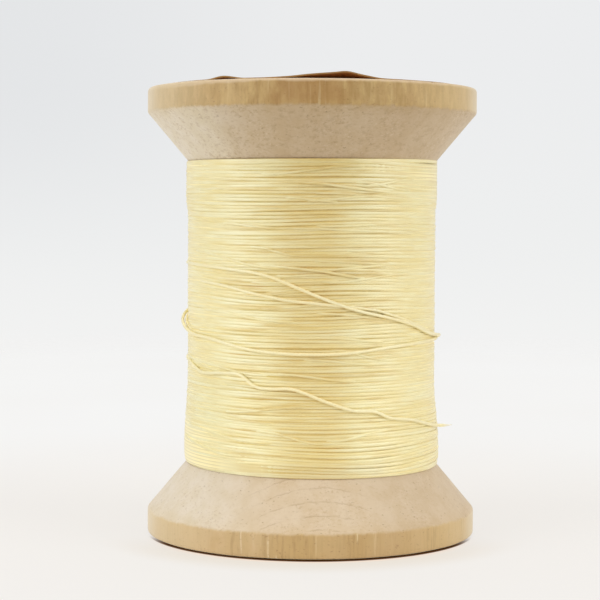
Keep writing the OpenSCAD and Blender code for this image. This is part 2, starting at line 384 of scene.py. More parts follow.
def thread_material(name, colours, seed, ply_depth):
    """u runs along the thread in millimetres; v goes round it and is 0 on its outward side. The colours are
    the thread's light one, its deeper one and the painted shade where two turns meet."""
    g = graph(name)
    light, deep, shade_colour = [linear(code) for code in colours]
    u, v, _ = g.parts(g.add("UVMap", uv_map="run").outputs["UV"])
    outward = g.math("COSINE", g.times(v, 2 * math.pi))
    at = g.place_mm()
    side, _, height = g.parts(at)
    from_middle = g.math("ABSOLUTE", side)
    # Slow changes of tone along the thread, so that neighbouring turns differ
    tone = g.noise(g.point(g.times(u, 0.09), seed), 3.0, 0.6)
    patch = g.noise(g.scaled(at, (0.34, 0.34, 0.9)))
    colour = g.mix(g.span(tone, 0.36, 0.64), light, deep)
    colour = g.mix(g.span(patch, 0.45, 0.75, 0.0, 0.4), colour, deep)
    # Streaks round the spool where turns lie deeper, higher or across each other, as painted shade and
    # painted light; they and the painted shade where two turns meet are strongest in the middle of the front
    middle = g.span(from_middle, 6.0, 12.0, 1.0, 0.0)
    streak = g.noise(g.scaled(at, (0.13, 0.13, 2.6)), 3.0, 0.6)
    deeper = g.times(g.span(streak, 0.50, 0.66, 0.0, 0.55), g.span(height, 8.4, 11.0))
    colour = g.mix(g.times(middle, deeper), colour, shade_colour)
    colour = g.mix(g.times(middle, g.span(streak, 0.46, 0.34, 0.0, 0.6)), colour, light)
    # Painted shade all over in the very middle, less on the crests
    crest = g.span(outward, 0.8, 1.0, 1.0, 0.62)
    colour = g.mix(g.times(crest, g.span(from_middle, 6.0, 1.0, 0.0, 0.47)), colour, shade_colour)
    dash = g.noise(g.scaled(at, (0.2, 0.2, 2.7)), 3.0, 0.6)
    crease = g.times(g.span(outward, 0.78, 0.38), g.span(dash, 0.36, 0.62, 0.6, 1.08))
    shade_colour = crease_shade_tones(g, shade_colour, side, height, dash)
    # The painted shade where two turns meet is fainter low down at the right and by the foot at the left
    faint_right = g.times(g.span(side, 1.0, 6.0), g.span(height, 28.0, 14.0))
    faint_left = g.times(g.span(side, -3.5, -6.0), g.span(height, 11.5, 10.0, 0.0, 1.3))
    faint = g.math("MAXIMUM", faint_right, faint_left)
    middle = g.times(middle, g.minus(1.0, g.times(faint, 0.6)))
    colour = tinted_and_shaded_by_place(g, colour, side, height)
    # Painted shade in the creases in the middle; towards the sides the crests get painted shade and the
    # creases painted light
    limb = g.span(from_middle, 7.5, 12.5)
    colour = g.tint(g.times(limb, g.span(outward, 0.5, 0.9)), colour, (0.91, 0.90, 0.86))
    colour = g.mix(g.times(middle, g.times(crease, 0.92)), colour, shade_colour)
    colour = g.mix(g.times(limb, g.times(crease, 0.95)), colour, linear("fff2b8"))
    # Painted light where the loose end stands clear of the winding: paler, for the light that comes through
    # it
    colour = g.mix(g.times(g.attribute("clear"), 0.7), colour, linear("f8f4e4"))
    # The plies laid round each other, and the fibres in them
    ply = g.math("SINE", g.times(g.plus(g.times(u, 1 / PAINTED_LAY), v), 2 * math.pi * PLIES))
    fibre = g.noise(g.point(g.times(u, 1.6), g.times(v, 10.0), seed))
    shader = g.add(
        "BsdfPrincipled",
        {
            "Base Color": colour,
            "Roughness": g.span(fibre, 0.3, 0.7, 0.36, 0.5),
            "Normal": g.bump(fibre, 0.012 * MM, g.bump(ply, ply_depth * MM)),
            "Specular IOR Level": 0.5,
            "Coat Weight": 0.35,
            "Coat Roughness": 0.28,
            "Sheen Weight": 0.4,
            "Sheen Roughness": 0.4,
            "Sheen Tint": linear("fff6dc"),
        },
    )
    return g.finish(shader.outputs["BSDF"])


# ---------------------------------------------------------------- wood material

# The year rings: one of them lies this far in front of the axis, and the next ones this far apart
RING_AT, RING_STEP = 15.17, 1.1
RING_LEAN = math.radians(3)
# Between these heights the look of the lower half goes over to that of the upper half
HALVES = (20.0, 32.0)


def year_rings(g, at):
    """1 on the thin dark line of a year ring. The rings are nearly flat sheets across the view. They show as
    broken arcs where the lower cone cuts them flat, and hardly at all elsewhere."""
    x, y, z = g.parts(at)
    depth = g.minus(g.times(x, math.sin(RING_LEAN)), g.times(y, math.cos(RING_LEAN)))
    wander = g.centred(g.noise(g.scaled(at, (0.16, 0.16, 0.05))), 0.4)
    ragged = g.centred(g.noise(g.scaled(at, (1.3, 1.3, 0.4)), 3.0, 0.65), 0.3)
    ring = g.times(g.minus(g.plus(depth, wander, ragged), RING_AT), 1 / RING_STEP)
    phase = g.math("FRACT", ring)
    line = g.times(g.span(phase, 0.84, 0.97), g.span(phase, 1.0, 0.985))
    broken = g.span(g.noise(g.scaled(at, (0.6, 0.6, 0.2))), 0.36, 0.60)
    off_middle = g.span(g.math("ABSOLUTE", x), 7.5, 4.5, 0.1, 1.0)
    return g.times(line, broken, g.times(off_middle, g.span(z, 30.0, 12.0, 0.15, 1.0)))


def cone_colour(g, at, mottle, fleck):
    """Painted light at the left and painted shade at the right and on the upper cone, with flecks where the
    cut goes across the fibres.
    """
    x, _, z = g.parts(at)
    above = g.span(z, *HALVES)
    cut = g.span(mottle, 0.3, 0.7)
    cone = g.mix(cut, linear("d1ba98"), linear("d8c4a7"))
    cone = g.mix(g.span(x, -3.0, -13.0), cone, g.mix(cut, linear("d5c6ab"), linear("dccfbb")))
    cone = g.mix(g.span(x, 2.0, 13.0), cone, g.mix(cut, linear("c7af8c"), linear("ceb899")))
    # Painted shade on the upper cone, less of it at the left
    upper_shade = g.mix(g.span(x, -4.0, -14.0), [0.94, 0.90, 0.83, 1.0], [0.97, 0.94, 0.90, 1.0])
    cone = g.mix(above, cone, upper_shade, "MULTIPLY")
    area = g.span(g.noise(g.scaled(at, (0.22, 0.22, 0.22))), 0.38, 0.62, 0.35, 1.2)
    coarse = g.times(area, g.span(z, *HALVES, 0.35, 0.5))
    cone = g.mix(g.times(coarse, g.span(fleck, 0.54, 0.70)), cone, linear("ae8c64"))
    cone = g.mix(g.times(coarse, g.span(fleck, 0.44, 0.28, 0.0, 0.6)), cone, linear("ecdcc2"))
    # The upper one has painted light round its sides
    round_x = g.math("DIVIDE", x, g.reach(at))
    cone = g.tint(g.times(above, g.span(round_x, -0.50, -0.68)), cone, (1.08, 1.12, 1.16))
    cone = g.tint(g.times(above, g.span(round_x, 0.50, 0.80)), cone, (1.01, 1.03, 1.05))
    spread = g.noise(g.scaled(at, (1.3, 1.3, 2.0)), 3.0, 0.65)
    return g.mix(g.times(above, g.span(spread, 0.52, 0.66, 0.0, 0.3)), cone, linear("a98a62"))


def upper_rim(g, at, edge, mottle):
    """The upper rim is blotchier than the lower one and has a darker brown patch, ragged at its sides."""
    x, y, z = g.parts(at)
    on_top = g.span(z, 40.0, 44.0)
    blotch = g.noise(g.scaled(at, (0.95, 0.95, 0.42)), 4.0, 0.6)
    edge = g.mix(g.times(on_top, g.span(blotch, 0.48, 0.64, 0.0, 0.42)), edge, linear("a98a50"))
    edge = g.mix(g.times(on_top, g.span(blotch, 0.50, 0.36, 0.0, 0.40)), edge, linear("d8bd86"))
    patch_x = g.plus(x, g.centred(mottle, 9.0))
    patch = g.times(g.span(patch_x, -7.0, -2.0), g.span(patch_x, 6.0, 1.0))
    patch = g.times(patch, g.times(g.span(z, 47.0, 49.0), g.span(y, -10.0, -15.0)))
    return g.mix(g.times(patch, 0.5), edge, linear("a67844"))


def rim_colour(g, at, mottle, streak, pit):
    """Fine upright streaks and veins, paler towards the sides, where the rim is cut across the rings and has
    a painted sheen; painted shade on the upper rim, and painted light at the lower left and along the top
    edge.
    """
    x, _, z = g.parts(at)
    vein = g.noise(g.scaled(at, (2.6, 2.6, 0.15)))
    patches = g.noise(g.scaled(at, (0.28, 0.28, 0.06)))
    edge = g.mix(g.span(mottle, 0.3, 0.7), linear("c3a26e"), linear("d0b381"))
    edge = g.tint(g.times(g.span(x, 1.0, 5.0), g.span(x, 14.0, 9.0)), edge, (0.95, 0.94, 0.95))
    edge = g.mix(g.span(mottle, 0.44, 0.62, 0.0, 0.3), edge, linear("ae8a54"))
    edge = g.mix(g.span(patches, 0.35, 0.6, 0.0, 0.5), edge, linear("bd9c64"))
    lively = g.times(g.span(patches, 0.40, 0.62, 0.25, 1.0), g.span(mottle, 0.35, 0.55, 0.4, 1.3))
    edge = g.mix(g.times(g.span(streak, 0.46, 0.66, 0.0, 0.5), lively), edge, linear("a68554"))
    edge = g.mix(g.times(g.span(vein, 0.60, 0.72, 0.0, 0.45), lively), edge, linear("ead8ae"))
    edge = g.mix(g.span(pit, 0.62, 0.72, 0.0, 0.4), edge, linear("8a6238"))
    edge = upper_rim(g, at, edge, mottle)
    # Painted shade on the upper rim, yellower at the right
    upper_shade = g.mix(g.span(x, -6.0, 6.0), [1.0, 0.975, 0.90, 1.0], [0.99, 0.96, 0.83, 1.0])
    edge = g.mix(g.span(z, *HALVES), edge, upper_shade, "MULTIPLY")
    # Painted light on the lower rim, left of the middle
    lower_left = g.times(g.span(x, -1.5, -6.0), g.span(x, -17.0, -12.0), g.span(z, *HALVES[::-1]))
    edge = g.tint(lower_left, edge, (1.05, 1.09, 1.22))
    # A painted highlight along the top edge, wider at the left
    pale_edge_band = g.plus(z, g.centred(mottle, 0.5), g.span(x, -4.0, -15.0, 0.0, 0.25))
    edge = g.mix(g.span(pale_edge_band, SPOOL_H - 0.42, SPOOL_H - 0.12, 0.0, 0.6), edge, linear("e2c8a4"))
    # Paler towards the sides, where the rim is cut across the rings, with a painted sheen there; a stronger
    # painted sheen at the far left and right
    aside = g.math("ABSOLUTE", x)
    side_colour_and_sheen = g.mix(g.span(x, -5, 5), linear("d6c39c"), linear("d0b684"))
    edge = g.mix(g.span(aside, 9.0, 18.0, 0.0, 0.6), edge, side_colour_and_sheen)
    return g.mix(g.span(aside, 16.6, 18.7, 0.0, 0.55), edge, linear("e0d2b6"))


def wood_material():
    g = graph("turned_wood")
    at = g.place_mm()
    z = g.parts(at)[2]
    # Fibres run up the spool: fine streaks on the rims, short flecks where the cones cut across them
    streak = g.noise(g.scaled(at, (3.6, 3.6, 0.3)), 3.0, 0.6)
    fleck = g.noise(g.scaled(at, (2.8, 2.8, 4.4)), 3.0, 0.7)
    pit = g.noise(g.scaled(at, (2.4, 2.4, 4.5)), 2.0, 0.6)
    mottle = g.noise(g.scaled(at, (0.5, 0.5, 0.4)), 3.0, 0.6)
    line = year_rings(g, at)
    cone = cone_colour(g, at, mottle, fleck)
    cone = g.mix(g.span(pit, 0.66, 0.74, 0.0, 0.5), cone, linear("8a6844"))
    cone = g.mix(g.times(line, 0.31), cone, linear("9a7650"))
    edge = rim_colour(g, at, mottle, streak, pit)
    # The rim's darker colour ends raggedly at the cone
    middle_z = SPOOL_H / 2
    into_rim = g.minus(g.math("ABSOLUTE", g.minus(z, middle_z)), middle_z - RIM_H)
    uneven = g.centred(g.noise(g.scaled(at, (1.0, 1.0, 0.7)), 3.0, 0.7), 0.7)
    border = g.times(g.attribute("rim"), g.span(g.plus(into_rim, uneven), -0.22, 0.18))
    cone = g.tint(g.span(into_rim, -1.4, 0.0), cone, (0.975, 0.95, 0.89))
    colour = g.mix(border, cone, edge)
    # Painted shade on the lower cone right below the winding, in the gap under its lowest turn
    below_winding_shade = g.span(g.reach(at), WINDING_R + 0.13, WINDING_R - 0.01, 0.0, 0.75)
    colour = g.mix(g.times(below_winding_shade, g.span(z, 12.0, 9.0)), colour, linear("6f5636"))
    grain = g.plus(g.times(streak, 0.7), g.times(fleck, 0.5))
    shader = g.add(
        "BsdfPrincipled",
        {
            "Base Color": colour,
            "Roughness": g.span(fleck, 0.3, 0.7, 0.50, 0.66),
            "Normal": g.bump(g.minus(grain, g.times(line, 0.4)), 0.02 * MM),
            "Specular IOR Level": 0.35,
            "Sheen Weight": 0.25,
            "Sheen Roughness": 0.5,
        },
    )
    return g.finish(shader.outputs["BSDF"])


# ---------------------------------------------------------------- paper material

def paper_material(name, light, dark, roughness):
    g = graph(name)
    at = g.place_mm()
    pulp = g.noise(g.scaled(at, (2.2, 2.2, 2.2)), 4.0, 0.65)
    strand = g.noise(g.scaled(at, (6.0, 1.2, 3.0)), 3.0, 0.6, 0.6)
    speck = g.noise(g.scaled(at, (7.0, 7.0, 7.0)), 1.0)
    handled = g.noise(g.scaled(at, (0.16, 0.16, 0.16)), 3.0, 0.6)
    colour = g.mix(g.span(pulp, 0.3, 0.7), light, dark)
    colour = g.mix(g.span(handled, 0.42, 0.62, 0.0, 0.3), colour, dark)
    # Rubbed paler along both cut edges
    reach = g.reach(at)
    by_edge = g.span(reach, LABEL_R - 0.9, LABEL_R - 0.1)
    pale_edge_band = g.math("MAXIMUM", by_edge, g.span(reach, LABEL_HOLE_R + 0.7, LABEL_HOLE_R))
    colour = g.mix(g.times(pale_edge_band, g.span(pulp, 0.35, 0.65, 0.1, 0.5)), colour, linear("b38a5c"))
    colour = g.mix(g.span(strand, 0.58, 0.72, 0.0, 0.35), colour, light)
    colour = g.mix(g.span(speck, 0.68, 0.76, 0.0, 0.6), colour, dark, "MULTIPLY")
    normal = g.bump(g.plus(pulp, strand), 0.03 * MM)
    shader = g.add(
        "BsdfPrincipled",
        {"Base Color": colour, "Roughness": roughness, "Normal": normal, "Specular IOR Level": 0.25},
    )
    return g.finish(shader.outputs["BSDF"])


THREAD = thread_material("waxed_thread", ("fcf4c4", "f6e5a4", "dab860"), 0.0, 0.006)
# The loose end's colours are paler than the winding's: painted light, as it lies out in the light
LOOSE = thread_material("waxed_thread_loose", ("fff6c8", "fff1ba", "feeaae"), 5.0, 0.01)
# The inner layers' colours are darker than the outer layer's: painted shade, as they show only deep in the
# gaps
CORE = thread_material("waxed_thread_inner", ("f6e8b0", "efda98", "d8b868"), 9.0, 0.006)
WOOD = wood_material()
PAPER_FACE = paper_material("label_paper", linear("8a6037"), linear("6f4a27"), 0.8)
# The underside is paler and more orange than the top: painted light, for the warm light from the wood under
# the curl
PAPER_BACK = paper_material("label_paper_back", linear("c37a30"), linear("9c5820"), 0.85)
PAPER_EDGE = paper_material("label_paper_edge", linear("b08c56"), linear("94713f"), 0.9)


# ---------------------------------------------------------------- loose end of the thread

# The way it lies: angle, height, and lift above where a resting thread's centre runs
LOOSE_ROUTE = [
    [-150, 26.4, 0], [-125, 26.1, 0], [-108, 25.7, 0.1], [-97, 25.1, 0.32], [-88, 24.4, 0.4],
    [-80, 23.75, 0.24], [-69, 23.15, 0.02], [-50, 22.8, 0], [-38, 22.3, 0], [-25, 21.8, 0],
    [-5, 21.5, 0], [15, 21.6, 0], [35, 22.1, 0], [56, 22.4, 0], [80, 22.5, 0],
    [92, 22.6, 0], [105, 22.9, 0], [120, 23.9, 0], [150, 26.4, 0], [180, 28.4, 0],
    [210, 29.9, 0], [240, 30.7, -0.1], [270, 31, -0.2], [299, 30.9, -0.1], [332, 30.3, 0],
    [343, 29.7, 0], [356, 28.4, 0], [368, 27.2, 0], [380, 26.2, 0], [398, 25.2, 0],
    [411, 24.4, 0], [424, 23.4, 0], [438, 22.95, 0.12], [450, 22.7, 0.36], [465, 22.2, 0.55],
    [480, 21.9, 0.4], [500, 21.7, 0.1], [520, 21.5, 0], [550, 21.1, 0], [595, 20.5, -0.1],
    [620, 20.3, -0.2], [635, 20.1, -0.2], [647, 19.85, -0.12], [655, 19.4, -0.05], [663, 18.95, 0],
    [679, 19.15, 0], [687, 19.1, 0], [695, 17.9, 0], [702, 17.7, 0], [712, 17.7, 0], [727, 16.3, 0],
    [738, 15.4, 0], [748, 15.2, 0], [756, 14.4, 0], [768, 14, 0], [784, 13.1, 0],
    [794, 12.7, 0.3], [806, 12.4, 1.5],
]
# The loose end comes up from between two turns, just before the route that the frame's solid has
LOOSE_TUCK = [-168, 26.5, -0.45]
# Height of a resting thread's centre over the tops of the turns: it lies a little in their grooves
LOOSE_REST = 0.16
LOOSE_D = 0.37
# Its cut end is worn thinner by this share over this length
TAPER, TAPER_L = 0.78, 2.6
# It stands clear of the winding where its lift is over this, and gets all its painted light this much higher
CLEAR_LIFT, CLEAR_RISE = 0.5, 0.5
# Degrees round the axis from one ring of corners to the next
LOOSE_STEP = 0.5
LOOSE_SIDES = 14
# How deep the plies are modelled, as a share of the thread's thickness
LOOSE_PLY_DEPTH = 0.05

way = smooth_route([LOOSE_TUCK] + LOOSE_ROUTE, LOOSE_STEP)
loose_line = place(way[:, 0], winding_r(way[:, 1]) + LOOSE_REST + way[:, 2], way[:, 1])
loose_run = run_along(loose_line)
loose_d = LOOSE_D * (1 - TAPER * np.clip(1 - (loose_run[-1] - loose_run) / TAPER_L, 0, 1))
points, faces, uv = tube(loose_line, loose_d, loose_d, LOOSE_SIDES, PLIES, LOOSE_PLY_DEPTH, MODELLED_LAY)
loose = make_piece("loose_thread", points, faces, [LOOSE], uv=uv)
clear = np.clip((way[:, 2] - CLEAR_LIFT) / CLEAR_RISE, 0, 1)
set_attribute(loose, "clear", np.repeat(clear, LOOSE_SIDES))
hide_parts("loose_thread_end")


# ---------------------------------------------------------------- outer layer of the winding

rng = np.random.default_rng(11)

OUTER_TURNS = 96
RINGS_PER_TURN = 100
# Thickness and width of a turn: neighbours press into each other
OUTER_D, OUTER_W = 0.2, 0.42
OUTER_SIDES = 8
# The lowest turns lie this far in from the winding's outline, within this height
FOOT_TUCK, FOOT_TUCK_H = 0.13, 1.2
# The layer lies this far under the winding's outline
OUTER_SUNK = 0.02
# Distance of the lowest and the highest turn's centre from the cones
FOOT_GAP, TOP_GAP = 0.21, 0.26
# The climb starts and ends this far past these two turns and is held at them, so that turns crowd there
OVERRUN = 0.35
# Unevenness of the turns up and down and outwards, and over how many turns it sets in at both ends
JITTER, UNEVEN_LIFT, CALM_TURNS = 0.05, 0.022, 2.5
# Slow shifts up and down: how many, the size of each, and the least height over which one repeats
SWAYS, SWAY_SIZE, SWAY_H = 10, 0.04, 7.0
# The lower edge is lower and the upper edge higher at the right, and the reverse at the left
LOWER_TILT, UPPER_TILT, TILT_REACH = 0.12, 0.07, 8
# The highest turns lie closer to the cone at the sides, less so at the left, where they are also slimmer
TOP_RISE, TOP_RISE_LEFT, TOP_RISE_REACH = 0.14, 0.4, 3
TOP_SLIM, TOP_SLIM_REACH = 0.1, 5

outer_foot = height_over_cone(WINDING_R + LOWER_SWELL - FOOT_TUCK - OUTER_D / 2, FOOT_GAP)
outer_top = SPOOL_H - height_over_cone(WINDING_R + UPPER_SWELL - OUTER_D / 2, TOP_GAP)


def near_foot(z, reach):
    """1 at the lowest turn and 0 from reach above it."""
    return np.clip(1 - (z - outer_foot) / reach, 0, 1)


def near_top(z, reach):
    """1 at the highest turn and 0 from reach below it."""
    return np.clip(1 - (outer_top - z) / reach, 0, 1)


def waves(t, frequencies, size):
    """A smooth random line over t with about that spread."""
    total = np.zeros_like(t)
    for f in frequencies:
        total += np.sin(2 * np.pi * (f * t + rng.random())) * rng.uniform(0.6, 1.4)
    return total * size / math.sqrt(len(frequencies) / 2)


def sway(angle, z):
    """Slow shifts up and down that neighbouring turns share."""
    total = np.zeros_like(z)
    for _ in range(SWAYS):
        around = rng.integers(1, 5)
        along = rng.uniform(-1, 1) * 2 * np.pi / SWAY_H
        total += SWAY_SIZE * np.sin(np.radians(angle) * around + along * z + rng.uniform(0, 2 * np.pi))
    return total


def outer_line():
    """Centre line of the outer layer, from the lower flange to the upper one."""
    turn = np.linspace(0, OUTER_TURNS, OUTER_TURNS * RINGS_PER_TURN + 1)
    angle = 180 - 360 * turn
    calm = np.clip(np.minimum(turn, OUTER_TURNS - turn) / CALM_TURNS, 0.0, 1.0)
    jitter = waves(turn, [0.41, 0.73, 1.17, 1.63, 2.29, 3.13, 4.37], JITTER)
    z = outer_foot - OVERRUN + (outer_top - outer_foot + 2 * OVERRUN) * turn / OUTER_TURNS
    z = np.clip(z + (jitter + sway(angle, z)) * calm, outer_foot, outer_top)
    r = winding_r(z) - FOOT_TUCK * near_foot(z, FOOT_TUCK_H) ** 2
    aside = np.sin(np.radians(angle))
    low, high = near_foot(z, TILT_REACH) * aside, near_top(z, TILT_REACH) * aside
    z = z - LOWER_TILT * low + UPPER_TILT * high
    r = r + math.tan(CONE_ANGLE) * (LOWER_TILT * low - UPPER_TILT * high)
    z = z + TOP_RISE * np.where(aside > 0, 1.0, TOP_RISE_LEFT) * aside**2 * near_top(z, TOP_RISE_REACH)
    r = r - TOP_SLIM * np.clip(-aside, 0, 1) * near_top(z, TOP_SLIM_REACH)
    lift = waves(turn, [0.53, 0.97, 1.71, 2.57, 3.83], UNEVEN_LIFT)
    return place(angle, r - OUTER_D / 2 + lift * calm - OUTER_SUNK, z)


# Strands that lie across the turns dip this far under the layer at both ends
UNDER = -0.7
STRAND_D = 0.36
# Degrees round the axis from one ring of corners to the next
STRAND_STEP = 2.0
STRAND_SIDES = 8
# How far past its seen stretch a random strand dips, round the axis and in height
DIP_ANGLE, DIP_H = 14, 0.1

# One lies on top of the others and has the loose end's paler colours, which are painted light
PAINTED_LIT_STRAND = [
    [-70, 29.2, UNDER], [-56, 29.05, -0.1], [-45.6, 28.84, 0], [-38, 28.57, 0], [-26.5, 27.99, 0],
    [-18, 27.61, 0], [-11.6, 27.31, 0], [-4, 27.11, 0], [4, 26.91, 0], [16, 26.6, 0],
    [29, 26.19, 0], [38, 25.58, 0], [50, 24.7, 0], [65.5, 23.6, -0.1], [80, 23.3, UNDER],
]
UPPER_STRAND = [
    [-26, 31.05, UNDER], [-17, 30.95, -0.12], [-11.6, 30.86, 0], [-4, 30.66, 0], [4, 30.46, 0],
    [12, 30.13, 0], [20, 29.8, -0.08], [32, 29.6, UNDER],
]
# This one lies under the loose end's small loop at the left
LOOP_STRAND = [
    [-125, 25.9, UNDER], [-112, 25.7, -0.1], [-97, 25.05, 0.1], [-88, 24.4, 0.16], [-80, 23.8, 0.06],
    [-69, 23.25, -0.1], [-55, 22.9, UNDER],
]
TOP_STRAND = [
    [-14, 40.1, UNDER], [-4, 39.95, -0.1], [5, 39.8, 0], [13, 39.55, 0], [20, 39.35, 0],
    [28, 39.15, -0.05], [36, 39.0, -0.2], [44, 38.9, UNDER],
]


def strand(route, seat):
    """A thread along a route, whose outside stands seat above the winding's outline."""
    way = smooth_route(route, STRAND_STEP)
    line = place(way[:, 0], winding_r(way[:, 1]) - STRAND_D / 2 + seat + way[:, 2], way[:, 1])
    return tube(line, STRAND_D, STRAND_D, STRAND_SIDES)


def random_strands(count, starts, lengths, falls, seat, heights=(10, 42)):
    """Strands with angles, lengths in degrees, falls and heights within those ranges."""
    for _ in range(count):
        start, length, fall = rng.uniform(*starts), rng.uniform(*lengths), rng.uniform(*falls)
        top = rng.uniform(*heights)
        seen = [[start + length * s, top - fall * (3 * s**2 - 2 * s**3), 0.0] for s in np.linspace(0, 1, 7)]
        first = [start - DIP_ANGLE, top + DIP_H, UNDER]
        last = [start + length + DIP_ANGLE, top - fall - DIP_H, UNDER]
        yield strand([first] + seen + [last], seat)


painted_lit_strand = strand(PAINTED_LIT_STRAND, 0.23)
parts = [
    tube(outer_line(), OUTER_D, OUTER_W, OUTER_SIDES),
    strand(UPPER_STRAND, 0.2),
    strand(LOOP_STRAND, 0.12),
    strand(TOP_STRAND, 0.2),
    *random_strands(16, (105, 190), (40, 75), (0.4, 1.8), 0.12),
    *random_strands(6, (-80, -50), (30, 50), (0.8, 1.8), 0.08),
    *random_strands(20, (-68, 22), (18, 48), (-0.9, 1.3), 0.07),
    *random_strands(12, (-62, 30), (14, 40), (-1.0, 1.0), 0.07, (27, 41)),
    painted_lit_strand,
]
points, faces, uv = joined(parts)
face_material = [0] * (len(faces) - len(painted_lit_strand[1])) + [1] * len(painted_lit_strand[1])
outer = make_piece("winding_outer", points, faces, [THREAD, LOOSE], face_material, uv)
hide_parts("outer_thread_layer")


# ---------------------------------------------------------------- layers inside the winding

# Seen only in the gaps: ridges of thread round a core
INNER_STEP = 0.37
INNER_SEGMENTS = 128
# The ridges start and end where a turn this far inside the outline would rest on the cones
INNER_INSET = 0.4
# Depth of their tops under the outline, and of the grooves between them under their tops
RIDGE_DEPTH, RIDGE_H = 0.08, 0.02
# Gap between the thread and the wood
REST_GAP = 0.1
# Length round the winding of one degree
DEGREE_L = 0.25

inner_foot = height_over_cone(WINDING_R + LOWER_SWELL - INNER_INSET, REST_GAP)
inner_top = SPOOL_H - height_over_cone(WINDING_R + UPPER_SWELL - INNER_INSET, REST_GAP)
ridge_z = np.arange(inner_foot, inner_top, INNER_STEP / 4)
ridge_r = winding_r(ridge_z) - RIDGE_DEPTH - RIDGE_H * np.abs(np.sin(np.pi * ridge_z / INNER_STEP))
ridge_r -= FOOT_TUCK * near_foot(ridge_z, FOOT_TUCK_H) ** 2
core_r = BARREL_R + REST_GAP
core_foot = height_over_cone(core_r, REST_GAP)
core_outline = [[core_r, core_foot], *zip(ridge_r, ridge_z), [core_r, SPOOL_H - core_foot]]
points, faces = lathe(core_outline, INNER_SEGMENTS)
corners = points[np.ravel(faces)]
corner_angle = np.degrees(np.arctan2(corners[:, 0], -corners[:, 1]))
uv = np.stack([corner_angle * DEGREE_L, corners[:, 2] / INNER_STEP], axis=-1)
core = make_piece("winding_inner", points, faces, [CORE], uv=uv)
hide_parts("inner_thread_layers")


# ---------------------------------------------------------------- wooden spool

SEGMENTS = 512
FACE_POINTS, RIM_POINTS, CONE_POINTS, BORE_POINTS = 14, 8, 24, 9
EDGE_STEPS, BEND_STEPS = 10, 6
# Steps of the rounded edge over which the rim's colour sets in
EDGE_FADE = 6
# Handling has worn the corners of the rims: depth of the wear, how far in it is deepest and how wide it is
WEAR, WEAR_IN, WEAR_W = 0.05, 0.2, 0.35
# Share of the wear that also comes off the height
WEAR_DOWN = 0.7
# The small nick in the upper rim
NICK_ANGLE, NICK_DEPTH, NICK_W = 44, 0.16, 0.22


def arc(centre, r, start, end, steps):
    a = np.radians(np.linspace(start, end, steps + 1))
    return [[centre[0] + r * math.cos(t), centre[1] + r * math.sin(t)] for t in a]


def spool_half(relief):
    """Outline rows of one half, from the bore's mouth over the rim to the barrel, and each row's share of
    the rim's colour: 0 on the end face, and rising to 1 round its edge."""
    edge_r = BASE_EDGE_R if relief else RIM_EDGE_R
    face_end = FLANGE_R - (BASE_RELIEF_W if relief else edge_r)
    face = [[r, 0.0] for r in np.linspace(BORE_R + BORE_CHAMFER, face_end, FACE_POINTS)]
    edge = arc((FLANGE_R - edge_r, relief + edge_r), edge_r, -90, 0, EDGE_STEPS)
    shoulder = (FLANGE_R - SHOULDER_R, RIM_H - SHOULDER_R * math.tan(CONE_ANGLE / 2))
    rim = [[FLANGE_R, z] for z in np.linspace(relief + edge_r, shoulder[1], RIM_POINTS)[1:-1]]
    bend = arc(shoulder, SHOULDER_R, 0, math.degrees(CONE_ANGLE), BEND_STEPS)
    foot, top = np.array(bend[-1]), np.array([BARREL_R, height_over_cone(BARREL_R)])
    cone = [(foot + (top - foot) * s).tolist() for s in np.linspace(0, 1, CONE_POINTS)[1:]]
    on_edge = [min(1.0, i / EDGE_FADE) for i in range(len(edge))]
    share = [0.0] * len(face) + on_edge + [1.0] * len(rim + bend + cone)
    # Without a relief the face ends where its edge starts
    if not relief:
        face, share = face[:-1], share[1:]
    return face + edge + rim + bend + cone, share


def bell(distance, width):
    return np.exp(-((distance / width) ** 2))


def worn(points):
    """The spool's points with the corners of its rims worn unevenly and the nick."""
    r = np.hypot(points[:, 0], points[:, 1])
    angle = np.degrees(np.arctan2(points[:, 0], -points[:, 1]))
    z = points[:, 2]
    by_face = bell(z - WEAR_IN, WEAR_W) + bell(z - SPOOL_H + WEAR_IN, WEAR_W)
    corner = bell(r - FLANGE_R + WEAR_IN, WEAR_W) * by_face
    a = np.radians(angle)
    uneven = 0.5 + 0.25 * np.sin(3 * a + 1.0) + 0.15 * np.sin(7 * a + 2.2) + 0.1 * np.sin(17 * a + 0.4)
    upper = z > SPOOL_H / 2
    from_nick = (angle - NICK_ANGLE) * FLANGE_R * math.pi / 180
    bite = WEAR * uneven * corner + NICK_DEPTH * bell(from_nick, NICK_W) * corner * upper
    inward = 1 - bite / np.maximum(r, 1)
    rise = np.where(upper, -bite, bite) * WEAR_DOWN
    return np.column_stack([points[:, :2] * inward[:, None], z + rise])


lower, lower_share = spool_half(BASE_RELIEF)
upper, upper_share = spool_half(0.0)
bore_rows = [[BORE_R, z] for z in np.linspace(SPOOL_H - BORE_CHAMFER, BORE_CHAMFER, BORE_POINTS)]
spool_outline = lower + [[r, SPOOL_H - z] for r, z in reversed(upper)] + bore_rows
rim_share = lower_share + upper_share[::-1] + [0.0] * len(bore_rows)
points, faces = lathe(spool_outline, SEGMENTS)
wood = make_piece("spool_wood", worn(points), faces, [WOOD])
set_attribute(wood, "rim", np.repeat(rim_share, SEGMENTS))
wood.data.set_sharp_from_angle(angle=math.radians(32))
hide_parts("spool")


# ---------------------------------------------------------------- paper label

# Height of the label's edge over its glued place: angle, height
EDGE_LIFT = [
    [-44, 0.0], [-40.5, 0.0], [-38.5, 0.08], [-36, 0.26], [-33, 0.33], [-29.5, 0.19], [-26, 0.02],
    [-18, 0.0], [-13, 0.05], [-8, 0.14], [-2.4, 0.33], [1.9, 0.43], [7, 0.53], [11.5, 0.71],
    [13.5, 0.61], [16, 0.43], [20.6, 0.20], [24, 0.04], [28, 0.0], [33, 0.0],
]
SECTORS = 360
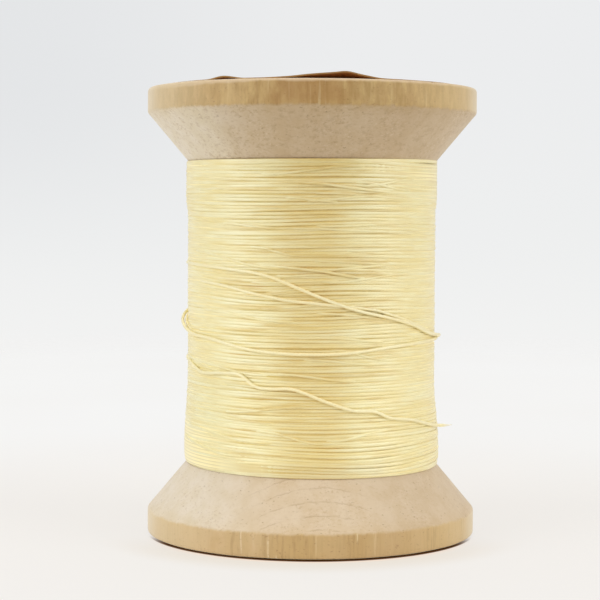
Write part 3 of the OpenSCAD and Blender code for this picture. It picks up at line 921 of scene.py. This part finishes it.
# Rows of points from the hole to where the curl starts and on to the edge, where they come closer together
FLAT_ROWS, CURL_ROWS, ROWS_BUNCH = 9, 18, 1.3
# The underside stands this far over the wood
GLUE_T = 0.005
# Size of the paper's crinkles where it is loose, and of the unevenness of its cut edge
CRINKLE, RAGGED = 0.012, 0.03


def edge_lift(angles):
    """The lift of the label's edge at each angle, a little smoothed."""
    lift = np.interp(angles, *np.transpose(EDGE_LIFT), left=0, right=0)
    kernel = np.array([1, 2, 3, 2, 1]) / 9
    return np.convolve(np.concatenate([lift[-2:], lift, lift[:2]]), kernel, "valid")


def label_sheet():
    """Rows of points of the label's underside, from the hole out to the edge."""
    flat_end = LABEL_R - CURL_REACH
    curled = LABEL_R - CURL_REACH * (1 - np.linspace(0, 1, CURL_ROWS + 1)[1:]) ** ROWS_BUNCH
    radii = np.concatenate([np.linspace(LABEL_HOLE_R, flat_end, FLAT_ROWS), curled])
    angles = np.arange(SECTORS) * 360 / SECTORS - 180
    lift = edge_lift(angles)
    a = np.radians(angles)
    crinkle = CRINKLE * (1 + np.sin(5 * a + 1.3) * np.sin(11 * a))
    ragged = RAGGED * np.sin(9 * a + 0.7) * np.sin(4 * a)
    loose_share = np.clip((radii - LABEL_R + CURL_REACH) / CURL_REACH, 0, 1) ** 2
    rows = []
    for radius, share in zip(radii, loose_share):
        cut = ragged if radius == radii[-1] else 0.0
        rows.append(place(angles, radius + cut, SPOOL_H + GLUE_T + lift * share + crinkle * share))
    return np.array(rows)


sheet = label_sheet()
rows = len(sheet)
under = sheet.reshape(-1, 3)
over = under + [0, 0, LABEL_T - GLUE_T]


def label_face(rows_and_sectors):
    """A face from (row, sector, 1 for the top or 0 for the underside) of its corners."""
    return [top * rows * SECTORS + i * SECTORS + k % SECTORS for i, k, top in rows_and_sectors]


faces, face_material = [], []
for i in range(rows - 1):
    for k in range(SECTORS):
        faces.append(label_face([(i + 1, k, 1), (i + 1, k + 1, 1), (i, k + 1, 1), (i, k, 1)]))
        faces.append(label_face([(i, k, 0), (i, k + 1, 0), (i + 1, k + 1, 0), (i + 1, k, 0)]))
        face_material += [0, 1]
last = rows - 1
for k in range(SECTORS):
    faces.append(label_face([(0, k, 0), (0, k, 1), (0, k + 1, 1), (0, k + 1, 0)]))
    faces.append(label_face([(last, k, 0), (last, k + 1, 0), (last, k + 1, 1), (last, k, 1)]))
    face_material += [2, 2]
papers = [PAPER_FACE, PAPER_BACK, PAPER_EDGE]
label = make_piece("paper_label", np.concatenate([under, over]), faces, papers, face_material)
label.data.set_sharp_from_angle(angle=math.radians(40))
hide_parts("top_label")


# ---------------------------------------------------------------- floor and background, in metres

FLOOR_R = 0.34
FLOOR_SEGMENTS = 128
# The floor lies this far under the base
FLOOR_GAP = 0.00001
# It fades out between these distances from the axis
FADE_START, FADE_END = 0.22, FLOOR_R - 0.01
# Its painted glow and shadow round the base are laid this far to the front, so that the painted shadow under
# the rim shows there
TONES_AHEAD = 0.28 * MM
# How much of the floor's look is its own colour at full light; the rest is lit
OWN_LIGHT = 0.8


def seen_rays(g):
    """1 on the rays that show a thing itself or its mirror image, 0 on those that carry its light."""
    ray = g.add("LightPath")
    seen = g.math("MAXIMUM", ray.outputs["Is Camera Ray"], ray.outputs["Is Glossy Ray"])
    return g.math("MAXIMUM", seen, ray.outputs["Is Transmission Ray"])


def floor_material():
    g = graph("floor")
    at = g.add("TexCoord").outputs["Object"]
    y = g.parts(at)[1]
    away = g.length(at)
    shifted = g.add("VectorMath", {0: at, 1: (0, TONES_AHEAD, 0)}, operation="ADD").outputs[0]
    rim_away = g.length(shifted)

    def past_rim(start, end):
        """0 at the first distance outside the rim and 1 at the second, in millimetres."""
        return g.span(rim_away, (FLANGE_R + start) * MM, (FLANGE_R + end) * MM)

    tint = g.mix(g.span(away, 0.03, 0.11), linear("f1eeea"), linear("f3f3f2"))
    tint = g.mix(g.span(g.noise(g.scaled(at, (9, 9, 9))), 0.3, 0.7, 0.0, 0.3), tint, linear("efece8"))
    # Painted warm light from the wood in front of the base, and a painted shadow in the narrow gap under its
    # worn rim
    glow = g.mix(past_rim(0.1, 1.4), linear("f3e2d2"), linear("ebe4da"))
    glow = g.mix(past_rim(1.4, 7.0), glow, tint)
    tint = g.mix(g.span(y, -0.004, -0.018), tint, glow)
    faced = g.span(y, -0.004, -0.010)
    tint = g.mix(g.times(faced, past_rim(0.18, -0.08)), tint, linear("6b4b30"))
    # The table ends in front of the object, so little light comes up from there
    bounce = g.mix(g.span(y, -0.11, -0.05), linear("606060"), linear("f4f2ee"))
    seen = seen_rays(g)
    plain = g.add("BsdfDiffuse", {"Color": g.mix(seen, bounce, tint), "Roughness": 0.4}).outputs[0]
    bright = g.add("Emission", {"Color": tint, "Strength": 1.0}).outputs[0]
    near = g.times(faced, past_rim(0.35, -0.1))
    share = g.times(seen, g.minus(OWN_LIGHT, g.times(near, OWN_LIGHT)))
    lit = g.add("MixShader", {0: share, 1: plain, 2: bright}).outputs[0]
    clear = g.add("BsdfTransparent").outputs[0]
    fade = g.span(away, FADE_START, FADE_END)
    return g.finish(g.add("MixShader", {0: fade, 1: lit, 2: clear}).outputs[0])


floor_mesh = bpy.data.meshes.new("floor")
turn = np.linspace(0, 2 * math.pi, FLOOR_SEGMENTS + 1)[:-1]
ring = [[FLOOR_R * math.sin(t), FLOOR_R * math.cos(t), -FLOOR_GAP] for t in turn]
floor_mesh.from_pydata(ring, [], [list(range(FLOOR_SEGMENTS))[::-1]])
floor_mesh.materials.append(floor_material())
floor = bpy.data.objects.new("floor", floor_mesh)
bpy.context.scene.collection.objects.link(floor)


def studio_world():
    """The wall behind, as the camera sees it, and the light of the room, which comes mostly from above and a
    little less from the camera's side."""
    g = Graph(bpy.data.worlds.new("studio"))
    x, y, z = g.parts(g.add("TexCoord").outputs["Generated"])
    wall = g.mix(g.span(z, -0.10, 0.0), linear("f3f3f2"), linear("eeefef"))
    wall = g.mix(g.span(z, -0.02, 0.09), wall, linear("ecedee"))
    shady = g.times(g.span(x, 0.05, -0.17, 0.0, 0.6), g.span(z, -0.05, 0.07))
    wall = g.mix(shady, wall, linear("dfe1e3"))
    backdrop = g.add("Background", {"Color": wall, "Strength": 1.0}).outputs[0]
    strength = g.times(g.span(z, -0.3, 0.5, 0.2, 0.62), g.span(y, -0.9, 0.1, 0.95, 1.0))
    ambient = g.add("Background", {"Color": linear("f6f6f8"), "Strength": strength}).outputs[0]
    shown = g.add("MixShader", {0: seen_rays(g), 1: ambient, 2: backdrop}).outputs[0]
    return g.finish(shown, "OutputWorld")


bpy.context.scene.world = studio_world()


# ---------------------------------------------------------------- lamps, in metres and watts

LIT_POINT = Vector((0, 0, 0.025))


def softbox(name, location, size, power):
    lamp = bpy.data.lights.new(name, "AREA")
    lamp.shape = "SQUARE"
    lamp.size = size
    lamp.energy = power
    obj = bpy.data.objects.new(name, lamp)
    obj.location = location
    obj.rotation_euler = (LIT_POINT - Vector(location)).to_track_quat("-Z", "Y").to_euler()
    bpy.context.scene.collection.objects.link(obj)


softbox("light_left", (-0.59, -0.29, 0.26), 0.5, 2.4)
softbox("light_right", (0.60, -0.26, 0.26), 0.5, 2.15)
softbox("light_top", (0.0, 0.05, 0.8), 0.6, 2.0)

bpy.context.scene.view_settings.view_transform = "Standard"


# ---------------------------------------------------------------- end

bpy.context.view_layer.update()
